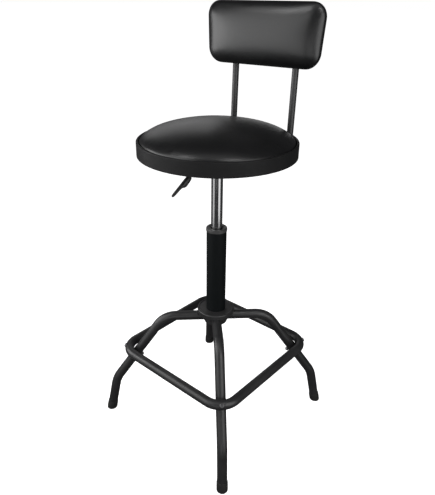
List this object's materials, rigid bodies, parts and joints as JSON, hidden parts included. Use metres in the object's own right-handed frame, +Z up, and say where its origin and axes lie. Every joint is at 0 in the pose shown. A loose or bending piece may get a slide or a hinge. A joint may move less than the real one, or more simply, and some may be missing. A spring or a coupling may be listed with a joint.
{
  "type": "drafting chair",
  "caption": "Tall swivel chair with a round padded seat and padded back on a gas lift, over a tubular four-leg base with a square foot ring and a release lever.",
  "frame": {"origin": "on the floor under the column's axis", "axes": "+Z up along the column, the sitter faces -Y, the back pad is on +Y, +X is on the sitter's left"},
  "size_m": [0.4964, 0.4964, 1.063],
  "materials": {
    "frame_paint": "satin",
    "column_paint": "satin",
    "rubber": "matte",
    "zinc": "satin",
    "bearing_steel": "polished",
    "brass": "satin",
    "chrome": "polished",
    "bush_plastic": "satin",
    "seal_rubber": "matte",
    "bracket_paint": "satin",
    "plywood": "matte",
    "foam": "matte",
    "vinyl": "gloss",
    "dust_cloth": "matte",
    "rim_paint": "satin",
    "plastic": "satin"
  },
  "bodies": {
    "base": {"leg_1": "frame_paint", "leg_2": "frame_paint", "leg_3": "frame_paint", "leg_4": "frame_paint", "foot_1": "rubber", "foot_2": "rubber", "foot_3": "rubber", "foot_4": "rubber", "hub_sleeve": "frame_paint", "hub_cap": "frame_paint", "foot_ring": "frame_paint", "ring_bolts": "zinc", "ring_nuts": "zinc", "column_tube": "column_paint", "guide_bush": "bush_plastic", "bearing_lower_race": "bearing_steel"},
    "gas_rod": {"bearing_balls": "bearing_steel", "bearing_cage": "brass", "bearing_upper_race": "bearing_steel", "piston_rod": "bearing_steel", "piston": "bearing_steel", "piston_seal": "seal_rubber", "rod_bumper": "seal_rubber", "rod_washer": "zinc", "rod_clip": "zinc"},
    "seat": {"gas_cylinder": "chrome", "rod_gland": "plastic", "pressure_tube": "zinc", "valve_body": "brass", "valve_spring": "zinc", "seat_socket": "bracket_paint", "seat_plate": "bracket_paint", "seat_board": "plywood", "seat_foam": "foam", "seat_cover": "vinyl", "seat_dust_cover": "dust_cloth", "seat_rim": "rim_paint", "seat_staples": "zinc", "seat_bolts": "zinc", "seat_washers": "zinc", "seat_tee_nuts": "zinc", "back_post_left": "bracket_paint", "back_post_right": "bracket_paint", "post_plugs": "plastic", "post_spacers": "zinc", "post_bolts": "zinc", "post_tee_nuts": "zinc", "back_panel": "plastic", "back_board": "plywood", "back_foam": "foam", "back_cover": "vinyl", "back_bolts": "zinc", "back_tee_nuts": "zinc", "lever_bracket": "bracket_paint", "lever_pivot_pin": "zinc"},
    "lever": {"lever_rod": "bracket_paint", "lever_grip": "plastic"},
    "valve": {"release_pin": "bearing_steel"}
  },
  "joints": [
    {"name": "seat_swivel", "type": "hinge", "parent": "base", "child": "gas_rod", "pos_m": [0, 0, 0.293], "axis": [0, 0, 1], "continuous": true},
    {"name": "height_slide", "type": "slide", "parent": "gas_rod", "child": "seat", "axis": [0, 0, 1], "range_m": [-0.12, 0]},
    {"name": "lever_lift", "type": "hinge", "parent": "seat", "child": "lever", "pos_m": [-0.00827, -0.02884, 0.738], "axis": [-0.9613, 0.2756, 0], "range_deg": [0, 8], "stiffness_Nm_per_rad": 5, "springref_deg": -1.15},
    {"name": "valve_press", "type": "slide", "parent": "seat", "child": "valve", "axis": [0, 0, 1], "range_m": [-0.0046, 0], "deforming": ["valve_spring"]}
  ],
  "couplings": [
    {"joint": "valve_press", "follows": "lever_lift", "m_per_rad": -0.032}
  ]
}
